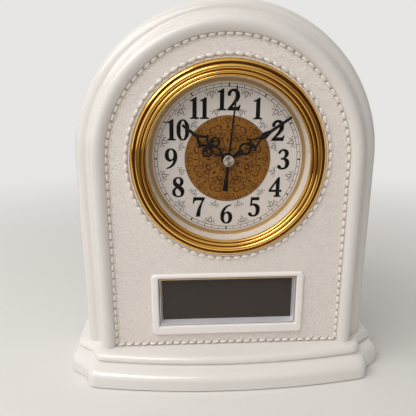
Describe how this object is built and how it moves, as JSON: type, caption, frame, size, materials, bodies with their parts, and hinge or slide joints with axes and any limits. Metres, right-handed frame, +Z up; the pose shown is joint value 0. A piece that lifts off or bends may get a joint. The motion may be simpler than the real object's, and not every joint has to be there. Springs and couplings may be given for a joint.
{
  "type": "desk clock",
  "caption": "Arched desk clock with a round gilt-bezel dial, pierced hands and a small digital display, on a stepped plinth.",
  "frame": {"origin": "middle of the clock's footprint, on the surface that it stands on", "axes": "+Z up, -Y out of the dial towards the viewer, +X to the right as seen from the front"},
  "size_m": [0.244, 0.0836, 0.2734],
  "materials": {
    "case_white": "smooth gloss white",
    "plinth_white": "smooth gloss white",
    "back_white": "fine matt texture",
    "panel_grain": "moulded leather grain, satin",
    "rope_white": "twisted bead, satin",
    "gilt_plastic": "polished gilt plating on plastic",
    "gilt_brass": "polished",
    "bronze_foil": "matt bronze print",
    "well_white": "satin white",
    "dial_white": "printed white enamel",
    "clear_lens": "clear, polished",
    "dark_window": "clear, smoke grey",
    "lcd_glass": "dark grey display glass",
    "frame_white": "smooth gloss white",
    "silver_plastic": "satin silver plating on plastic",
    "hand_black": "matt black paint",
    "cap_steel": "polished",
    "movement_black": "fine matt texture",
    "wheel_white": "smooth",
    "knob_black": "smooth",
    "inner_grey": "smooth",
    "board_green": "solder-resist green",
    "coil_copper": "enamelled copper wire",
    "iron_plate": "rolled plate",
    "magnet_grey": "sintered magnet",
    "screw_steel": "zinc plated",
    "contact_steel": "nickel plated",
    "nut_dark": "blackened",
    "cell_jacket": "printed jacket",
    "pad_rubber": "soft",
    "foot_rubber": "soft",
    "strip_rubber": "soft",
    "cable_grey": "smooth sheath",
    "button_grey": "smooth"
  },
  "bodies": {
    "clock": {"front_case": "case_white", "rear_cover": "back_white", "cover_screws": "screw_steel", "plinth": "plinth_white", "base_plate": "back_white", "feet": "foot_rubber", "plinth_screws": "screw_steel", "base_screws": "screw_steel", "front_panel": "panel_grain", "panel_rope": "rope_white", "dial_rope": "rope_white", "bezel": "gilt_plastic", "dial_lens": "clear_lens", "dial_well": "well_white", "dial": "dial_white", "dial_ring": "gilt_brass", "dial_medallion": "bronze_foil", "dial_carrier": "inner_grey", "dial_screws": "screw_steel", "movement_front": "movement_black", "movement_back": "movement_black", "movement_pad": "pad_rubber", "shaft_washer": "nut_dark", "shaft_nut": "nut_dark", "stator": "iron_plate", "coil": "coil_copper", "circuit_board": "board_green", "aa_cell": "cell_jacket", "movement_contacts": "contact_steel", "lcd_frame": "frame_white", "lcd_surround": "silver_plastic", "lcd_window": "dark_window", "lcd_cell": "lcd_glass", "lcd_holder": "inner_grey", "lcd_strips": "strip_rubber", "lcd_board": "board_green", "lcd_screws": "screw_steel", "lcd_cable": "cable_grey", "button_board": "board_green", "button_screws": "screw_steel", "aaa_cells": "cell_jacket", "aaa_contacts": "contact_steel"},
    "seconds": {"second_hand": "hand_black", "second_cap": "cap_steel", "second_wheel": "wheel_white"},
    "minutes": {"minute_hand": "hand_black", "centre_wheel": "wheel_white"},
    "hours": {"hour_hand": "hand_black", "hour_wheel": "wheel_white"},
    "third": {"third_wheel": "wheel_white"},
    "fifth": {"fifth_wheel": "wheel_white"},
    "motor": {"rotor": "magnet_grey"},
    "reverse": {"reverse_wheel": "wheel_white"},
    "setting": {"setting_knob": "knob_black"},
    "door": {"battery_door": "back_white"},
    "key_1": {"button_1": "button_grey"},
    "key_2": {"button_2": "button_grey"},
    "key_3": {"button_3": "button_grey"},
    "key_4": {"button_4": "button_grey"}
  },
  "joints": [
    {"name": "second_turn", "type": "hinge", "parent": "clock", "child": "seconds", "pos_m": [0, 0.0046, 0.1652], "axis": [0, 1, 0], "continuous": true},
    {"name": "minute_turn", "type": "hinge", "parent": "clock", "child": "minutes", "pos_m": [0, 0.0046, 0.1652], "axis": [0, 1, 0], "continuous": true},
    {"name": "hour_turn", "type": "hinge", "parent": "clock", "child": "hours", "pos_m": [0, 0.0046, 0.1652], "axis": [0, 1, 0], "continuous": true},
    {"name": "third_turn", "type": "hinge", "parent": "clock", "child": "third", "pos_m": [-0.01205, 0.0046, 0.16733], "axis": [0, 1, 0], "continuous": true},
    {"name": "fifth_turn", "type": "hinge", "parent": "clock", "child": "fifth", "pos_m": [0.0063, 0.0046, 0.17611], "axis": [0, 1, 0], "continuous": true},
    {"name": "rotor_turn", "type": "hinge", "parent": "clock", "child": "motor", "pos_m": [0.00167, 0.0046, 0.18163], "axis": [0, 1, 0], "continuous": true},
    {"name": "reverse_turn", "type": "hinge", "parent": "clock", "child": "reverse", "pos_m": [0.00789, 0.0046, 0.16233], "axis": [0, 1, 0], "continuous": true},
    {"name": "setting_turn", "type": "hinge", "parent": "clock", "child": "setting", "pos_m": [0.01629, 0.0046, 0.16233], "axis": [0, 1, 0], "continuous": true},
    {"name": "door_swing", "type": "hinge", "parent": "clock", "child": "door", "pos_m": [0, 0.0391, 0.0565], "axis": [1, 0, 0], "range_deg": [0, 90]},
    {"name": "key_press_1", "type": "slide", "parent": "clock", "child": "key_1", "axis": [0, -1, 0], "range_m": [0, 0.0008], "stiffness_N_per_m": 400},
    {"name": "key_press_2", "type": "slide", "parent": "clock", "child": "key_2", "axis": [0, -1, 0], "range_m": [0, 0.0008], "stiffness_N_per_m": 400},
    {"name": "key_press_3", "type": "slide", "parent": "clock", "child": "key_3", "axis": [0, -1, 0], "range_m": [0, 0.0008], "stiffness_N_per_m": 400},
    {"name": "key_press_4", "type": "slide", "parent": "clock", "child": "key_4", "axis": [0, -1, 0], "range_m": [0, 0.0008], "stiffness_N_per_m": 400}
  ],
  "couplings": [
    {"joint": "minute_turn", "follows": "second_turn", "ratio": 0.016667},
    {"joint": "hour_turn", "follows": "second_turn", "ratio": 0.0013889},
    {"joint": "third_turn", "follows": "second_turn", "ratio": -0.125},
    {"joint": "fifth_turn", "follows": "second_turn", "ratio": -6},
    {"joint": "rotor_turn", "follows": "second_turn", "ratio": 30},
    {"joint": "reverse_turn", "follows": "second_turn", "ratio": -0.0055556},
    {"joint": "setting_turn", "follows": "second_turn", "ratio": 0.016667}
  ]
}
